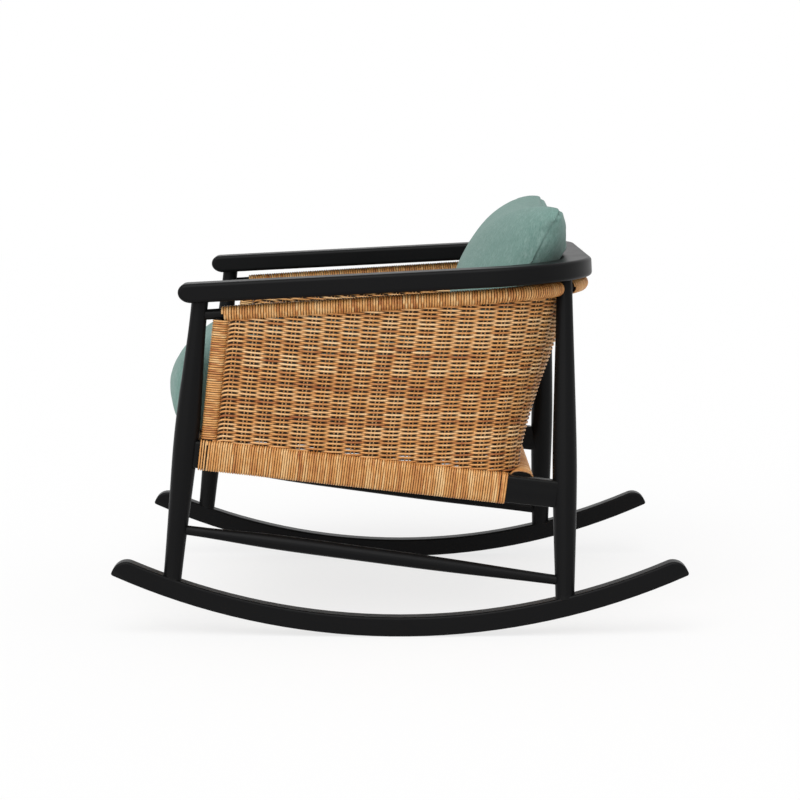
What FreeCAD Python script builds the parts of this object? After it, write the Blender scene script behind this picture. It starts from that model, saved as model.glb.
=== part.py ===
import FreeCAD, Part
import math
import os
from FreeCAD import Placement, Rotation, Vector

# Rocking lounge chair: a black wooden frame on two rockers, a woven rattan shell
# round the sides and back, and two loose cushions. Millimetres, +Z up. The sitter
# looks towards -Y and the sitter's left is +X. The origin is on the floor, halfway
# between the rockers, where they touch it.

# Rockers
rocker_length = 940.0
rocker_radius = 1130.0
rocker_height = 32.0
rocker_width = 30.0
rocker_nose = 24.0
rocker_rounding = 4.0

# Arm rail, a flat bent U in a plane that rises to the rear
rail_width = 50.0
rail_thickness = 31.0
rail_half_width = 365.0
rail_front_y = -354.0
rail_back_y = 320.0
rail_corner = 180.0
rail_height = 562.0
rail_slope = math.degrees(math.atan(0.0515))
rail_rounding = 6.0
nose_round = 14.0
nose_cut = 21.0

# The rockers and front legs stand under the middle of the arms
rocker_x = rail_half_width - rail_width / 2

# Upper rail, round, under the arm rail, in a plane of its own
upper_height = 544.8
upper_slope = math.degrees(math.atan(0.064))
upper_core = 17.0
upper_bound = 25.0
upper_back_y = 303.5
upper_corner = 179.4
upper_wrap_y = -288.0
upper_tenon = 10.0
upper_tenon_reach = 21.0

# Turned legs and stretchers
front_foot_y = -370.0
front_head_y = -320.7
front_girths = ((0, 29.5), (0.18, 33.0), (0.34, 37.2), (0.5, 40.3), (0.66, 37.2), (0.83, 30.2), (1, 27.0))
rear_leg_y = 268.5
rear_girths = ((0, 31.0), (0.22, 37.2), (0.41, 39.9), (0.6, 36.3), (0.79, 30.8), (1, 25.0))
stretcher_front_z = 176.0
stretcher_rear_z = 89.0
stretcher_girths = ((0, 15.5), (0.11, 18.2), (0.21, 23.0), (0.41, 24.8), (0.72, 22.2), (0.92, 17.0), (1, 16.0))
leg_tenon = 16.0
leg_tenon_depth = 20.0
small_tenon = 11.0
small_tenon_reach = 24.0
tenon_from_axis = 3.0

# Seat frame, in a plane that falls to the rear
seat_front_z = 301.3
seat_slope = 6.75
seat_rail_width = 25.0
seat_rail_height = 44.0
seat_rail_rounding = 4.0
binding = 3.0
side_binding_start = 27.0
side_binding_end = 525.0
rear_rail_depth = 36.0
rear_rail_back = 568.5
rear_rail_lift = 4.0
rear_rail_rounding = 11.0
dowel = 9.0
dowel_in = 4.0
dowel_length = 36.0
dowel_spacing = 22.0
cleat_width = 18.0
cleat_height = 20.0
cleat_rounding = 1.0
cleat_gap = 3.0
strap_width = 50.0
strap_thickness = 2.0
cross_straps = 6
long_straps = 5
screw = 4.0
screw_head = 8.0
screw_length = 34.0
screw_spread = 1.4
side_screws = 4
cross_screws = 3

# Panel posts behind the front legs
post_width = 19.0
post_depth = 14.0
post_gap = 36.5
post_in_rail = 2.0
post_rounding = 3.0

# Woven shell: its outer face stands a little outside the rails' middle at the sides
# and inside the upper rail's middle at the back
shell_thickness = 7.0
shell_side_out = 4.5
shell_back_in = 12.0
shell_post_gap = 0.7
shell_low_back = 205.0
shell_low_corner = 70.0
shell_low_bow = 8.0
shell_high_bow = 1.0
shell_levels = (0, 0.3, 0.65, 1)
shell_hollow = (0, -10.5, -5.0, 0)

# Cushions; each level of the seat cushion is its share of the thickness, then how far
# the outline stands in at the front, the side and the rear, and its corner
cushion_leg_gap = 5.85
cushion_shell_gap = 33.0
cushion_rear_gap = 24.5
cushion_overhang = 42.0
seat_front_bow = 18.0
seat_rear_bow = 22.0
seat_rear_corner = 12.0
seat_front_fade = 260.0
seat_thickness = 182.0
seat_levels = ((0, 24, 20, 20, 40), (0.08, 6, 5, 5, 44), (0.33, 0, 0, 0, 45), (0.58, 3, 3, 3, 48),
               (0.7, 14, 16, 20, 60), (0.81, 38, 50, 75, 90), (0.9, 76, 108, 165, 105),
               (0.96, 118, 165, 240, 90), (1, 160, 225, 300, 40))
back_side_gap = 37.0
back_foot_in = 155.0
back_foot_rise = 110.2
back_lean = 28.0
back_length = 326.0
back_corner = 0.16
corner_growth = 0.6
back_front_bulge = 97.0
back_rear_bulge = 47.0
pillow_fullness = 0.7
pillow_sag = 6.0
ear_rise = 16.0
press_ahead = 122.6
press_height = 149.0
press_slope = 10.5
pillow_depths = (0, 0.22, 0.5, 0.75, 0.92, 0.985)

# Clearances
fit = 0.1
soft_gap = 0.5
rise = Vector(0, 0, 1)
origin = Vector(0, 0, 0)


def line(start, end):
    return Part.LineSegment(start, end).toShape()


def arc(start, middle, end):
    return Part.Arc(start, middle, end).toShape()


def quarter(start, end, centre):
    """A quarter of an ellipse as a smooth curve."""
    first = start - centre
    second = end - centre
    steps = [math.pi / 2 * i / 8 for i in range(9)]
    points = [centre + first * math.cos(t) + second * math.sin(t) for t in steps]
    curve = Part.BSplineCurve()
    curve.interpolate(Points=points, InitialTangent=second, FinalTangent=first * -1)
    return curve.toShape()


def mirrored(shape):
    """The same piece for the other side of the chair."""
    return shape.mirror(origin, Vector(1, 0, 0))


def tilted(shape, height, degrees, at_y=0.0):
    """A copy turned about the X axis and put at a height."""
    copy = shape.copy()
    place = Placement(Vector(0, at_y, height), Rotation(Vector(1, 0, 0), degrees))
    copy.Placement = place.multiply(copy.Placement)
    return copy


def rod(start, end, diameter):
    return Part.makeCylinder(diameter / 2, (end - start).Length, start, end - start)


def turned(start, end, girths, spare):
    """A spindle from start to end, with a straight spare length past each end."""
    length = (end - start).Length
    points = [Vector(diameter / 2, 0, share * length) for share, diameter in girths]
    curve = Part.BSplineCurve()
    curve.interpolate(points)
    low = Vector(points[0].x, 0, -spare)
    high = Vector(points[-1].x, 0, length + spare)
    foot = Vector(0, 0, low.z)
    head = Vector(0, 0, high.z)
    edges = [line(foot, low), curve.toShape(), line(high, head), line(head, foot)]
    if spare:
        edges += [line(low, points[0]), line(points[-1], high)]
    profile = Part.Wire(Part.__sortEdges__(edges))
    solid = Part.Face(profile).revolve(origin, rise, 360)
    solid.Placement = Placement(start, Rotation(rise, end - start))
    return solid


def along(start, end, distance):
    """The point at a distance from start on the way to end."""
    way = end - start
    way.normalize()
    return start + way * distance


def rocker_top(y):
    radius = rocker_radius - rocker_height
    return rocker_radius - math.sqrt(radius ** 2 - y ** 2)


def rail_under(y):
    return rail_height + y * math.tan(math.radians(rail_slope))


def upper_axis(y):
    return upper_height + y * math.tan(math.radians(upper_slope))


# Rockers
def rocker_blank():
    inner = rocker_radius - rocker_height
    swing = math.asin(rocker_length / 2 / rocker_radius)

    def spot(radius, angle):
        side = rocker_x - rocker_width / 2
        return Vector(side, radius * math.sin(angle), rocker_radius - radius * math.cos(angle))

    edges = [arc(spot(rocker_radius, -swing), spot(rocker_radius, 0), spot(rocker_radius, swing))]
    edges.append(line(spot(rocker_radius, swing), spot(inner, swing)))
    edges.append(arc(spot(inner, swing), spot(inner, 0), spot(inner, -swing)))
    edges.append(line(spot(inner, -swing), spot(rocker_radius, -swing)))
    bow = Part.Face(Part.Wire(edges)).extrude(Vector(rocker_width, 0, 0))
    middle = rocker_radius - (rocker_radius - rocker_height / 2) * math.cos(swing)
    ends = [e for e in bow.Edges if e.BoundBox.XLength > rocker_width / 2]
    bow = bow.makeFillet(rocker_nose, [e for e in ends if e.BoundBox.ZMin > middle])
    ends = [e for e in bow.Edges if e.BoundBox.XLength > rocker_width / 2]
    bow = bow.makeFillet(rocker_rounding, [e for e in ends if e.BoundBox.YLength < 0.01
                                           and e.CenterOfMass.distanceToPoint(
                                               Vector(rocker_x, 0, rocker_radius)) > rocker_radius - 1])
    rim = [e for e in bow.Edges if e.BoundBox.XLength < 0.01]
    return bow.makeFillet(rocker_rounding, rim)


# Arm rail
def u_points(half, back, corner, front):
    """Front, corner start, corner middle, corner end of one side of a U, in its plane."""
    turn = corner * math.sqrt(0.5)
    centre_x = half - corner
    centre_y = back - corner
    return (Vector(half, front, 0), Vector(half, centre_y, 0),
            Vector(centre_x + turn, centre_y + turn, 0), Vector(centre_x, back, 0))


def other(point):
    return Vector(-point.x, point.y, point.z)


def u_edges(half, back, corner, front):
    """The five edges of a U, from the front of the left side to the front of the right."""
    a, b, c, d = u_points(half, back, corner, front)
    return [line(a, b), arc(b, c, d), line(d, other(d)), arc(other(d), other(c), other(b)),
            line(other(b), other(a))]


def rail_blank(grow=0.0):
    """The arm rail without its sockets; grow makes it larger all round, for clearances."""
    outer = u_edges(rail_half_width + grow, rail_back_y + grow, rail_corner + grow, rail_front_y)
    step = rail_width + grow
    inner = u_edges(rail_half_width - step, rail_back_y - step, rail_corner - step, rail_front_y)
    tips = [e.Vertexes[0].Point for e in (outer[0], inner[0])]
    wall = outer + [line(other(tips[0]), other(tips[1]))]
    wall += list(reversed(inner)) + [line(tips[1], tips[0])]
    face = Part.Face(Part.Wire(wall))
    plate = face.extrude(Vector(0, 0, rail_thickness + 2 * grow))
    plate.translate(Vector(0, 0, -grow))
    if grow:
        return plate
    plate = max(plate.common(nose_profile()).Solids, key=lambda s: s.Volume)
    limit = rail_front_y + nose_cut + rail_thickness
    rounded = []
    for edge in plate.Edges:
        box = edge.BoundBox
        upright = box.XLength < 0.01 and box.YLength < 0.01
        across = box.YLength < 0.01 and box.ZLength < 0.01 and box.YMax < limit
        if not upright and not across:
            rounded.append(edge)
    return plate.makeFillet(rail_rounding, rounded)


def nose_profile():
    """Side view of the arm: a round front end, fuller at the top than below."""
    side = -rail_half_width - rail_width
    front = rail_front_y
    rear = rail_back_y + rail_width
    middle = rail_thickness - nose_round
    turn = nose_round * (1 - math.sqrt(0.5))
    top = Vector(side, front + nose_round, rail_thickness)
    tip = Vector(side, front, middle)
    chin = Vector(side, front + nose_cut, 0)
    upper = arc(top, Vector(side, front + turn, rail_thickness - turn), tip)
    lower = quarter(tip, chin, Vector(side, front + nose_cut, middle))
    low = Vector(side, rear, 0)
    high = Vector(side, rear, rail_thickness)
    edges = [upper, lower, line(chin, low), line(low, high), line(high, top)]
    return Part.Face(Part.Wire(edges)).extrude(Vector(-2 * side, 0, 0))


def in_rail_plane(shape):
    return tilted(shape, rail_height, rail_slope)


# Legs, which end on the rocker below and on the arm rail above
front_foot = Vector(rocker_x, front_foot_y, rocker_top(front_foot_y))
front_head = Vector(rocker_x, front_head_y, rail_under(front_head_y))
upper_half = rocker_x
upper_plane_y = rear_leg_y / math.cos(math.radians(upper_slope))
leg_turn = math.asin((upper_plane_y - upper_back_y + upper_corner) / upper_corner)
rear_head_x = upper_half - upper_corner + upper_corner * math.cos(leg_turn)
rear_foot = Vector(rocker_x, rear_leg_y, rocker_top(rear_leg_y))
rear_head = Vector(rear_head_x, rear_leg_y, rail_under(rear_leg_y))


def on_axis(foot, head, z):
    """The point at height z on a leg's axis."""
    return foot + (head - foot) * ((z - foot.z) / (head.z - foot.z))


def leg(foot, head, girths, rocker, rail):
    """A turned leg seated on the rocker and the rail, with a round tenon at each end."""
    spindle = turned(foot, head, girths, rocker_rounding + 2).cut(rocker).cut(rail)
    low = along(foot, head, -leg_tenon_depth)
    high = along(head, foot, -leg_tenon_depth)
    tenons = rod(low, along(foot, head, leg_tenon_depth), leg_tenon)
    tenons = tenons.fuse(rod(high, along(head, foot, leg_tenon_depth), leg_tenon))
    return spindle.fuse(tenons).removeSplitter()


def leg_sockets(foot, head):
    """What the two tenons of a leg take out of the rocker and the rail."""
    low = along(foot, head, -leg_tenon_depth - 1)
    high = along(head, foot, -leg_tenon_depth - 1)
    wide = leg_tenon + 2 * fit
    return rod(low, along(foot, head, leg_tenon_depth), wide), rod(high, along(head, foot, leg_tenon_depth), wide)


def tenon(axis_point, towards, reach, diameter, grow=0.0):
    """A small round tenon beside a leg's axis, pointing towards a member."""
    start = along(axis_point, towards, tenon_from_axis - grow)
    return rod(start, along(axis_point, towards, reach), diameter + 2 * grow)


rocker_left = rocker_blank()
arm_rail = in_rail_plane(rail_blank())
front_leg = leg(front_foot, front_head, front_girths, rocker_left, arm_rail)
rear_leg = leg(rear_foot, rear_head, rear_girths, rocker_left, arm_rail)
for foot, head in ((front_foot, front_head), (rear_foot, rear_head)):
    low_socket, high_socket = leg_sockets(foot, head)
    rocker_left = rocker_left.cut(low_socket)
    arm_rail = arm_rail.cut(high_socket).cut(mirrored(high_socket))

# Lower side stretcher, tenoned into both legs
stretcher_front = on_axis(front_foot, front_head, stretcher_front_z)
stretcher_rear = on_axis(rear_foot, rear_head, stretcher_rear_z)
stretcher = turned(stretcher_front, stretcher_rear, stretcher_girths, 0.0).cut(front_leg).cut(rear_leg)
stretcher = max(stretcher.Solids, key=lambda s: s.Volume)
for here, there in ((stretcher_front, stretcher_rear), (stretcher_rear, stretcher_front)):
    stretcher = stretcher.fuse(tenon(here, there, small_tenon_reach, small_tenon))
stretcher = stretcher.removeSplitter()
front_leg = front_leg.cut(tenon(stretcher_front, stretcher_rear, small_tenon_reach, small_tenon, fit))
rear_leg = rear_leg.cut(tenon(stretcher_rear, stretcher_front, small_tenon_reach, small_tenon, fit))


# Upper rail: a side length and a back length, which meet at the rear leg
def upper_path(part, front):
    """The centreline of the side or the back length, in the upper rail's plane."""
    a, b, c, d = u_points(upper_half, upper_back_y, upper_corner, front)
    centre = Vector(upper_half - upper_corner, upper_back_y - upper_corner, 0)

    def round_at(angle):
        return centre + Vector(math.cos(angle), math.sin(angle), 0) * upper_corner

    leg_spot = round_at(leg_turn)
    if part == "side":
        return [line(a, b), arc(b, round_at(leg_turn / 2), leg_spot)]
    corner = arc(leg_spot, round_at((leg_turn + math.pi / 2) / 2), d)
    far = arc(other(d), other(round_at((leg_turn + math.pi / 2) / 2)), other(leg_spot))
    return [corner, line(d, other(d)), far]


def swept(edges, diameter):
    path = Part.Wire(edges)
    first = edges[0]
    start = first.valueAt(first.FirstParameter)
    way = first.tangentAt(first.FirstParameter)
    ring = Part.Wire(Part.makeCircle(diameter / 2, start, way))
    return path.makePipeShell([ring], True, False)


def in_upper_plane(shape):
    return tilted(shape, upper_height, upper_slope)


stub_y = front_head_y / math.cos(math.radians(upper_slope))
upper_core_side = in_upper_plane(swept(upper_path("side", stub_y), upper_core))
upper_core_back = in_upper_plane(swept(upper_path("back", stub_y), upper_core))
upper_wrap_side = in_upper_plane(swept(upper_path("side", upper_wrap_y), upper_bound))
upper_wrap_back = in_upper_plane(swept(upper_path("back", upper_wrap_y), upper_bound))
upper_wrap_side_full = upper_wrap_side
upper_wrap_back_full = upper_wrap_back
core_room_side = in_upper_plane(swept(upper_path("side", stub_y), upper_core + 2 * fit))
core_room_back = in_upper_plane(swept(upper_path("back", stub_y), upper_core + 2 * fit))

front_joint = on_axis(front_foot, front_head, upper_axis(front_head_y))
rear_joint = on_axis(rear_foot, rear_head, upper_axis(rear_leg_y))
leg_way = Vector(-math.sin(leg_turn), math.cos(leg_turn), 0)
leg_way = Rotation(Vector(1, 0, 0), upper_slope).multVec(leg_way)
rim_tenons = (
    ("side", front_joint, front_joint + Vector(0, 1, math.tan(math.radians(upper_slope)))),
    ("side", rear_joint, rear_joint - leg_way),
    ("back", rear_joint, rear_joint + leg_way),
)


def biggest(shape):
    return max(shape.Solids, key=lambda s: s.Volume)


def fused(base, extra):
    joined = base.fuse(extra).removeSplitter()
    return biggest(joined)


front_leg_whole = front_leg
rear_leg_whole = rear_leg
upper_side = biggest(upper_core_side.cut(front_leg_whole).cut(rear_leg_whole))
upper_back = biggest(upper_core_back.cut(rear_leg_whole).cut(mirrored(rear_leg_whole)))
for part, here, there in rim_tenons:
    peg = tenon(here, there, upper_tenon_reach, upper_tenon)
    hole = tenon(here, there, upper_tenon_reach, upper_tenon, fit)
    if part == "side":
        upper_side = fused(upper_side, peg)
    else:
        upper_back = fused(fused(upper_back, peg), mirrored(peg))
    if here is front_joint:
        front_leg = front_leg.cut(hole)
    else:
        rear_leg = rear_leg.cut(hole)
upper_wrap_side = biggest(upper_wrap_side.cut(core_room_side).cut(rear_leg_whole).cut(front_leg_whole))
upper_wrap_back = biggest(upper_wrap_back.cut(core_room_back).cut(rear_leg_whole)
                          .cut(mirrored(rear_leg_whole)))


# Seat frame, built flat with its front at y = 0 and tilted as one
def bar(length, width, height, rounding):
    """A straight bar along +Y, centred on it, with its long edges rounded."""
    box = Part.makeBox(width, length, height, Vector(-width / 2, 0, -height / 2))
    edges = [e for e in box.Edges if e.BoundBox.YLength > length / 2]
    return box.makeFillet(rounding, edges)


seat_front_y_axis = on_axis(front_foot, front_head, seat_front_z).y


def in_seat_plane(shape):
    return tilted(shape, seat_front_z, -seat_slope, seat_front_y_axis)


seat_length = (rear_leg_y - seat_front_y_axis) / math.cos(math.radians(seat_slope))
rear_z = seat_front_z - (rear_leg_y - seat_front_y_axis) * math.tan(math.radians(seat_slope))
side_rear_x = on_axis(rear_foot, rear_head, rear_z).x
toe_in = math.degrees(math.atan((rocker_x - side_rear_x) / seat_length))
side_length = math.hypot(seat_length, rocker_x - side_rear_x)


def on_side(shape, start):
    """A bar laid along the side rail's centreline, a distance from the front leg's axis."""
    copy = shape.copy()
    turn = Placement(Vector(rocker_x, 0, 0), Rotation(rise, toe_in))
    copy.Placement = turn.multiply(Placement(Vector(0, start, 0), Rotation()).multiply(copy.Placement))
    return copy


def side_x(y):
    """The side rail's centreline in the seat's plane."""
    return rocker_x - y * math.tan(math.radians(toe_in))


bound_width = seat_rail_width + 2 * binding
bound_height = seat_rail_height + 2 * binding
side_core_flat = on_side(bar(side_length, seat_rail_width, seat_rail_height, seat_rail_rounding), 0)
side_room = on_side(bar(side_length, seat_rail_width + 2 * fit, seat_rail_height + 2 * fit,
                        seat_rail_rounding), 0)
side_wrap_flat = on_side(bar(side_binding_end - side_binding_start, bound_width, bound_height,
                             seat_rail_rounding + binding), side_binding_start)


def across(shape, y, lift):
    """A bar laid from right to left at a place behind the front legs' axis."""
    copy = shape.copy()
    copy.Placement = Placement(Vector(0, y, lift), Rotation(rise, -90)).multiply(copy.Placement)
    return copy


def cross_bar(half, y, depth, height, rounding, lift=0.0):
    blank = bar(2 * half, depth, height, rounding)
    blank.translate(Vector(0, -half, 0))
    return across(blank, y, lift)


rear_rail_y = rear_rail_back - binding - rear_rail_depth / 2
rear_half = side_x(rear_rail_y) - seat_rail_width / 2 + binding
rear_core_flat = cross_bar(rear_half + rear_rail_depth / 2, rear_rail_y, rear_rail_depth,
                           seat_rail_height, rear_rail_rounding, rear_rail_lift)
rear_bound_flat = cross_bar(rear_half, rear_rail_y, rear_rail_depth + 2 * binding, bound_height,
                            rear_rail_rounding + binding, rear_rail_lift)
rear_room = cross_bar(rear_half + rear_rail_depth / 2, rear_rail_y, rear_rail_depth + 2 * fit,
                      seat_rail_height + 2 * fit, rear_rail_rounding, rear_rail_lift)
side_keep_out = on_side(bar(side_length, seat_rail_width + 2 * fit, bound_height * 2, seat_rail_rounding), 0)
rear_core_flat = rear_core_flat.cut(on_side(bar(side_length, seat_rail_width, seat_rail_height * 3,
                                                seat_rail_rounding), 0))
rear_core_flat = rear_core_flat.cut(mirrored(on_side(bar(side_length, seat_rail_width, seat_rail_height * 3,
                                                         seat_rail_rounding), 0)))
rear_core_flat = biggest(rear_core_flat)
rear_wrap_flat = rear_bound_flat.cut(rear_room).cut(side_keep_out).cut(mirrored(side_keep_out))
rear_wrap_flat = rear_wrap_flat.cut(side_wrap_flat).cut(mirrored(side_wrap_flat))
rear_wrap_flat = biggest(rear_wrap_flat)

front_core_flat = cross_bar(rocker_x, 0, seat_rail_width, seat_rail_height, seat_rail_rounding)
front_wrap_half = rocker_x - front_girths[3][1] / 2 - 2 * fit
front_wrap_flat = cross_bar(front_wrap_half, 0, bound_width, bound_height, seat_rail_rounding + binding)
front_room = cross_bar(rocker_x, 0, seat_rail_width + 2 * fit, seat_rail_height + 2 * fit, seat_rail_rounding)
front_wrap_flat = front_wrap_flat.cut(front_room)

# Cleats along the inside of the seat rails, and webbing on them
cleat_top = bound_height / 2 - 2 * strap_thickness
cleat_z = cleat_top - cleat_height / 2
inner_side = bound_width / 2 + cleat_width / 2
cleat_front = bound_width / 2 + fit
cleat_rear = rear_rail_back - rear_rail_depth - 2 * binding - fit
side_cleat_length = cleat_rear - cleat_front - 2 * (cleat_width + cleat_gap)
side_cleat_flat = on_side(bar(side_cleat_length, cleat_width, cleat_height, cleat_rounding),
                          cleat_front + cleat_width + cleat_gap)
side_cleat_flat.translate(Vector(-inner_side - fit, 0, cleat_z))
lift_long = strap_thickness
front_cleat_half = side_x(cleat_front) - bound_width / 2 - cleat_gap
rear_cleat_half = side_x(cleat_rear) - bound_width / 2 - cleat_gap
front_cleat_flat = cross_bar(front_cleat_half, cleat_front + cleat_width / 2, cleat_width,
                             cleat_height, cleat_rounding, cleat_z + lift_long)
rear_cleat_flat = cross_bar(rear_cleat_half, cleat_rear - cleat_width / 2, cleat_width,
                            cleat_height, cleat_rounding, cleat_z + lift_long)


def strap(length, width, z):
    return Part.makeBox(length, width, strap_thickness, Vector(-length / 2, -width / 2, z))


run = cleat_rear - cleat_front - 2 * cleat_width
cross_webbing_flat = []
for i in range(cross_straps):
    y = cleat_front + cleat_width + run * (i + 0.5) / cross_straps
    half = side_x(y) - bound_width / 2 - cleat_gap
    piece = strap(2 * half, strap_width, cleat_top)
    piece.translate(Vector(0, y, 0))
    cross_webbing_flat.append(piece)
long_webbing_flat = []
long_length = cleat_rear - cleat_front - 2 * cleat_gap
for i in range(long_straps):
    x = (i - (long_straps - 1) / 2) * 2 * (rear_cleat_half - strap_width) / (long_straps - 0.5)
    piece = strap(strap_width, long_length, cleat_top + lift_long)
    piece.translate(Vector(x, cleat_front + cleat_gap + long_length / 2, 0))
    long_webbing_flat.append(piece)

side_rail = in_seat_plane(side_core_flat).cut(front_leg_whole).cut(rear_leg_whole)
side_rail = biggest(side_rail)
front_rail = biggest(in_seat_plane(front_core_flat).cut(front_leg_whole).cut(mirrored(front_leg_whole)))
rear_rail = in_seat_plane(rear_core_flat)
side_wrap = in_seat_plane(side_wrap_flat.cut(side_room))
front_wrap = biggest(in_seat_plane(front_wrap_flat).cut(front_leg_whole).cut(mirrored(front_leg_whole)))
rear_wrap = in_seat_plane(rear_wrap_flat)

# Dowels between seat rails and legs, and between side and rear rails
dowels_flat = []
for z in (-dowel_spacing / 2, dowel_spacing / 2):
    for y in (0, side_length):
        inward = -1 if y else 1
        start = Vector(0, y + inward * (tenon_from_axis + dowel_in), z)
        peg = rod(start, start + Vector(0, inward * dowel_length, 0), dowel)
        dowels_flat.append(on_side(peg, 0))
    start = Vector(side_x(rear_rail_y) + dowel_in, rear_rail_y, z + rear_rail_lift)
    dowels_flat.append(rod(start, start - Vector(dowel_length, 0, 0), dowel))
    start = Vector(rocker_x - tenon_from_axis - dowel_in, 0, z)
    dowels_flat.append(rod(start, start - Vector(dowel_length, 0, 0), dowel))
left_dowels = [in_seat_plane(peg) for peg in dowels_flat]
dowel_room = Part.makeCompound(left_dowels)
side_rail = biggest(side_rail.cut(dowel_room))
rear_rail = biggest(rear_rail.cut(dowel_room).cut(mirrored(dowel_room)))
front_rail = biggest(front_rail.cut(dowel_room).cut(mirrored(dowel_room)))
front_leg = front_leg.cut(dowel_room)
rear_leg = rear_leg.cut(dowel_room)

# Screws that hold the cleats: two to four in each, head inside
screws_flat = []


def screw_along(start, way):
    """A countersunk screw with its head's face at start."""
    cone = Part.makeCone(screw_head / 2, screw / 2, screw_head / 4, start, way)
    return cone.fuse(rod(start, start + way * screw_length, screw)).removeSplitter()


for i in range(side_screws):
    y = cleat_front + cleat_width + run * (i + 0.5) / side_screws
    x = side_x(y) - bound_width / 2 - cleat_width - fit
    screws_flat.append(screw_along(Vector(x, y, cleat_z), Vector(1, 0, 0)))
    screws_flat.append(mirrored(screws_flat[-1]))
for i in range(cross_screws):
    x = (i - (cross_screws - 1) / 2) * screw_spread * rear_cleat_half / (cross_screws - 1)
    z = cleat_z + lift_long
    screws_flat.append(screw_along(Vector(x, cleat_front + cleat_width, z), Vector(0, -1, 0)))
    screws_flat.append(screw_along(Vector(x, cleat_rear - cleat_width, z), Vector(0, 1, 0)))
screws = Part.makeCompound([in_seat_plane(s) for s in screws_flat])
side_cleat = in_seat_plane(side_cleat_flat)
front_cleat = in_seat_plane(front_cleat_flat)
rear_cleat = in_seat_plane(rear_cleat_flat)
side_rail, side_wrap, side_cleat, front_rail, front_wrap, front_cleat, rear_rail, rear_wrap, rear_cleat = (
    biggest(piece.cut(screws)) for piece in
    (side_rail, side_wrap, side_cleat, front_rail, front_wrap, front_cleat, rear_rail, rear_wrap, rear_cleat))


# Panel posts between the seat side rail and the upper rail, beside the front leg
leg_way_up = front_head - front_foot
leg_way_up.normalize()
post_low = on_axis(front_foot, front_head, seat_front_z) + Vector(0, post_gap, 0)
post_rise = upper_axis(post_low.y) - upper_core / 2 + post_in_rail - post_low.z
post_high = post_low + leg_way_up * (post_rise / leg_way_up.z)


def post_bar(width, depth, rounding):
    """An upright bar that leans like the front leg."""
    blank = bar((post_high - post_low).Length, depth, width, rounding)
    upright = Placement(origin, Rotation(Vector(1, 0, 0), 90))
    lean = Placement(post_low, Rotation(rise, leg_way_up))
    blank.Placement = lean.multiply(upright)
    return blank


post_core = post_bar(post_width, post_depth, post_rounding)
post_bound = post_bar(post_width + 2 * binding, post_depth + 2 * binding, post_rounding + binding)
post_room = post_bar(post_width + 2 * fit, post_depth + 2 * fit, post_rounding)
side_solid = in_seat_plane(side_wrap_flat)
core_solid = in_seat_plane(side_core_flat)
post_ends = (side_solid, core_solid, upper_wrap_side_full, core_room_side)
post_wrap = post_bound.cut(post_room)
for solid in post_ends:
    post_core = post_core.cut(solid)
    post_wrap = post_wrap.cut(solid)
post_core = biggest(post_core)
post_wrap = biggest(post_wrap)


# Woven shell: one U of sides and back, from the seat rails up to the upper rail
def shell_plane(level, y):
    """Height of a level's slanted plane at a place: level 0 is on the seat rails, 1 on the upper rail."""
    slope = math.radians(seat_slope)
    low = seat_front_z + bound_height / 2 / math.cos(slope) - (y - seat_front_y_axis) * math.tan(slope)
    return low * (1 - level) + upper_axis(y) * level


def shell_outline(level, hollow, inset):
    """One half of the shell's outline at one level, as five points; inset 0 is the outer face."""
    def mix(low, high):
        return low * (1 - level) + high * level

    def spot(x, y):
        return Vector(x, y, shell_plane(level, y))

    rise_here = (upper_axis(post_low.y) - post_low.z) * level
    lean = leg_way_up.y / leg_way_up.z
    front = post_low.y + post_width / 2 + binding + shell_post_gap + bound_height / 2 * lean + rise_here * lean
    low_y = shell_low_back - shell_low_bow
    low_x = side_x(low_y - shell_low_corner - seat_front_y_axis) + shell_side_out
    high_y = upper_back_y - shell_back_in - shell_high_bow
    high_x = upper_half + shell_side_out
    corner = mix(shell_low_corner, upper_corner)
    low_start = low_y - shell_low_corner
    high_start = upper_back_y - upper_corner
    cut = 1 - math.sqrt(0.5)
    ahead = spot(mix(rocker_x, upper_half) + shell_side_out - inset, front)
    side = spot(mix(low_x, high_x) - inset, mix(low_start, high_start))
    turn_x = mix(low_x, high_x) - corner * cut
    turn_y = mix(low_y, high_y) - corner * cut + hollow / 2
    turn = spot(turn_x - inset * math.sqrt(0.5), turn_y - inset * math.sqrt(0.5))
    rear = spot(mix(low_x, high_x) - corner, mix(low_y, high_y) + hollow - inset)
    middle = spot(0, mix(shell_low_back, high_y + shell_high_bow) + hollow - inset)
    return ahead, side, turn, rear, middle


def shell_wire(level, hollow):
    a, b, c, d, m = shell_outline(level, hollow, 0)
    e, f, g, h, n = shell_outline(level, hollow, shell_thickness)
    edges = [line(a, b), arc(b, c, d), arc(d, m, other(d)), arc(other(d), other(c), other(b))]
    edges += [line(other(b), other(a)), line(other(a), other(e)), line(other(e), other(f))]
    edges += [arc(other(f), other(g), other(h)), arc(other(h), n, h), arc(h, g, f), line(f, e), line(e, a)]
    return Part.Wire(edges)


shell = Part.makeLoft([shell_wire(level, hollow) for level, hollow in zip(shell_levels, shell_hollow)], True, False)
for solid in (upper_wrap_side_full, upper_wrap_back_full, side_solid, in_seat_plane(rear_bound_flat),
              rear_leg_whole):
    shell = shell.cut(solid).cut(mirrored(solid))
woven_shell = biggest(shell)

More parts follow.
